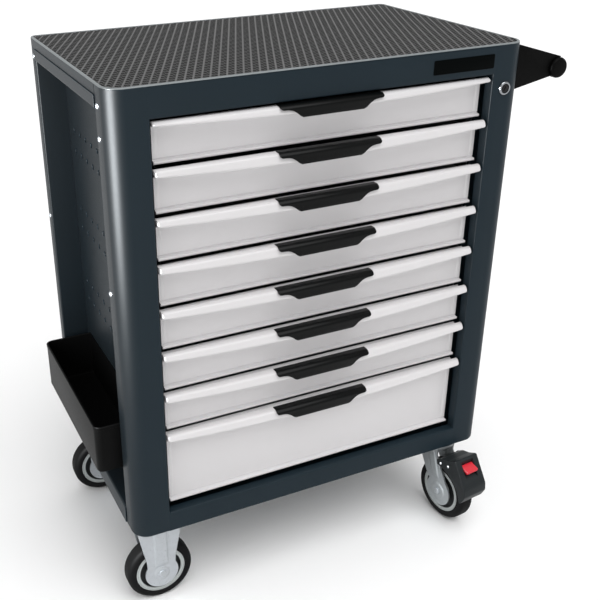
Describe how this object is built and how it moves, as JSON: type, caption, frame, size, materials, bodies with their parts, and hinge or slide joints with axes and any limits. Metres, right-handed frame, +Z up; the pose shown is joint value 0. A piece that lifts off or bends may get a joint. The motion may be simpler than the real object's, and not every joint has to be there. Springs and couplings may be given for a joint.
{
  "type": "rolling tool chest",
  "caption": "Wheeled sheet steel tool chest with a stack of full-width drawers, a side push handle, a side tray, an anti-slip top, and fixed and swivel braked casters.",
  "frame": {"origin": "on the floor, at the centre of the whole chest's footprint, with its push handle and side tray", "axes": "+Z up, -Y towards the drawer fronts, +X towards the push handle"},
  "size_m": [0.8417, 0.4858, 0.915],
  "materials": {
    "cabinet_paint": "satin dark blue-grey powder coat",
    "drawer_paint": "satin light grey paint",
    "zinc": "bright zinc plate",
    "chrome": "polished",
    "black_plastic": "fine grained black plastic",
    "mat_rubber": "ribbed anti-slip rubber",
    "tyre_rubber": "dull dark grey rubber",
    "core_grey": "light grey moulded polyamide",
    "red_plastic": "semi-gloss red",
    "steel": "zinc plated sheet steel"
  },
  "bodies": {
    "root": {"base_pan": "cabinet_paint", "front_left_post": "cabinet_paint", "front_right_post": "cabinet_paint", "header_rail": "cabinet_paint", "left_side_panel": "cabinet_paint", "right_side_panel": "cabinet_paint", "rear_panel": "cabinet_paint", "top_tray": "cabinet_paint", "top_mat": "mat_rubber", "handle_bar": "black_plastic", "handle_bracket_front": "black_plastic", "handle_bracket_rear": "black_plastic", "side_tray": "black_plastic", "left_slide_rack": "steel", "right_slide_rack": "steel", "lock_barrel": "chrome", "front_left_caster_bracket": "zinc", "rear_left_caster_bracket": "zinc", "front_right_caster_plate": "zinc", "rear_right_caster_plate": "zinc"},
    "drawer_1": {"drawer_1_box": "drawer_paint", "drawer_1_front": "drawer_paint", "drawer_1_grip": "black_plastic"},
    "drawer_2": {"drawer_2_box": "drawer_paint", "drawer_2_front": "drawer_paint", "drawer_2_grip": "black_plastic"},
    "drawer_3": {"drawer_3_box": "drawer_paint", "drawer_3_front": "drawer_paint", "drawer_3_grip": "black_plastic"},
    "drawer_4": {"drawer_4_box": "drawer_paint", "drawer_4_front": "drawer_paint", "drawer_4_grip": "black_plastic"},
    "drawer_5": {"drawer_5_box": "drawer_paint", "drawer_5_front": "drawer_paint", "drawer_5_grip": "black_plastic"},
    "drawer_6": {"drawer_6_box": "drawer_paint", "drawer_6_front": "drawer_paint", "drawer_6_grip": "black_plastic"},
    "drawer_7": {"drawer_7_box": "drawer_paint", "drawer_7_front": "drawer_paint", "drawer_7_grip": "black_plastic"},
    "drawer_8": {"drawer_8_box": "drawer_paint", "drawer_8_front": "drawer_paint", "drawer_8_grip": "black_plastic"},
    "front_left_wheel": {"front_left_caster_tyre": "tyre_rubber", "front_left_caster_core": "core_grey"},
    "front_right_swivel": {"front_right_caster_fork": "zinc", "front_right_caster_brake_hood": "black_plastic"},
    "front_right_wheel": {"front_right_caster_tyre": "tyre_rubber", "front_right_caster_core": "core_grey"},
    "front_right_brake_button": {"front_right_caster_brake_button": "red_plastic"},
    "rear_left_wheel": {"rear_left_caster_tyre": "tyre_rubber", "rear_left_caster_core": "core_grey"},
    "rear_right_swivel": {"rear_right_caster_fork": "zinc", "rear_right_caster_brake_hood": "black_plastic"},
    "rear_right_wheel": {"rear_right_caster_tyre": "tyre_rubber", "rear_right_caster_core": "core_grey"},
    "rear_right_brake_button": {"rear_right_caster_brake_button": "red_plastic"},
    "lock_plug": {"lock_plug": "chrome"},
    "lock_bar": {"lock_bar": "steel"}
  },
  "joints": [
    {"name": "drawer_1_slide", "type": "slide", "parent": "root", "child": "drawer_1", "axis": [0, -1, 0], "range_m": [0, 0.3]},
    {"name": "drawer_2_slide", "type": "slide", "parent": "root", "child": "drawer_2", "axis": [0, -1, 0], "range_m": [0, 0.3]},
    {"name": "drawer_3_slide", "type": "slide", "parent": "root", "child": "drawer_3", "axis": [0, -1, 0], "range_m": [0, 0.3]},
    {"name": "drawer_4_slide", "type": "slide", "parent": "root", "child": "drawer_4", "axis": [0, -1, 0], "range_m": [0, 0.3]},
    {"name": "drawer_5_slide", "type": "slide", "parent": "root", "child": "drawer_5", "axis": [0, -1, 0], "range_m": [0, 0.3]},
    {"name": "drawer_6_slide", "type": "slide", "parent": "root", "child": "drawer_6", "axis": [0, -1, 0], "range_m": [0, 0.3]},
    {"name": "drawer_7_slide", "type": "slide", "parent": "root", "child": "drawer_7", "axis": [0, -1, 0], "range_m": [0, 0.3]},
    {"name": "drawer_8_slide", "type": "slide", "parent": "root", "child": "drawer_8", "axis": [0, -1, 0], "range_m": [0, 0.3]},
    {"name": "front_left_wheel_spin", "type": "hinge", "parent": "root", "child": "front_left_wheel", "pos_m": [-0.3324, -0.1286, 0.059], "axis": [0, 1, 0], "continuous": true},
    {"name": "front_right_caster_swivel", "type": "hinge", "parent": "root", "child": "front_right_swivel", "pos_m": [0.2505, -0.1286, 0.154], "axis": [0, 0, 1], "continuous": true},
    {"name": "front_right_wheel_spin", "type": "hinge", "parent": "front_right_swivel", "child": "front_right_wheel", "pos_m": [0.25469, -0.16536, 0.059], "axis": [0.9936, 0.1132, 0], "continuous": true},
    {"name": "front_right_brake_press", "type": "slide", "parent": "front_right_swivel", "child": "front_right_brake_button", "axis": [-0.0305, 0.2673, -0.9631], "range_m": [0, 0.004], "stiffness_N_per_m": 600, "springref_m": -0.001},
    {"name": "rear_left_wheel_spin", "type": "hinge", "parent": "root", "child": "rear_left_wheel", "pos_m": [-0.3324, 0.2064, 0.059], "axis": [0, 1, 0], "continuous": true},
    {"name": "rear_right_caster_swivel", "type": "hinge", "parent": "root", "child": "rear_right_swivel", "pos_m": [0.2505, 0.2064, 0.154], "axis": [0, 0, 1], "continuous": true},
    {"name": "rear_right_wheel_spin", "type": "hinge", "parent": "rear_right_swivel", "child": "rear_right_wheel", "pos_m": [0.25469, 0.16964, 0.059], "axis": [0.9936, 0.1132, 0], "continuous": true},
    {"name": "rear_right_brake_press", "type": "slide", "parent": "rear_right_swivel", "child": "rear_right_brake_button", "axis": [-0.0305, 0.2673, -0.9631], "range_m": [0, 0.004], "stiffness_N_per_m": 600, "springref_m": -0.001},
    {"name": "lock_turn", "type": "hinge", "parent": "root", "child": "lock_plug", "pos_m": [0.2733, -0.1741, 0.8447], "axis": [0, -1, 0], "range_deg": [0, 90]},
    {"name": "lock_lift", "type": "slide", "parent": "root", "child": "lock_bar", "axis": [0, 0, 1], "range_m": [0, 0.008]}
  ],
  "couplings": [
    {"joint": "lock_turn", "follows": "lock_lift", "rad_per_m": 196.3}
  ]
}
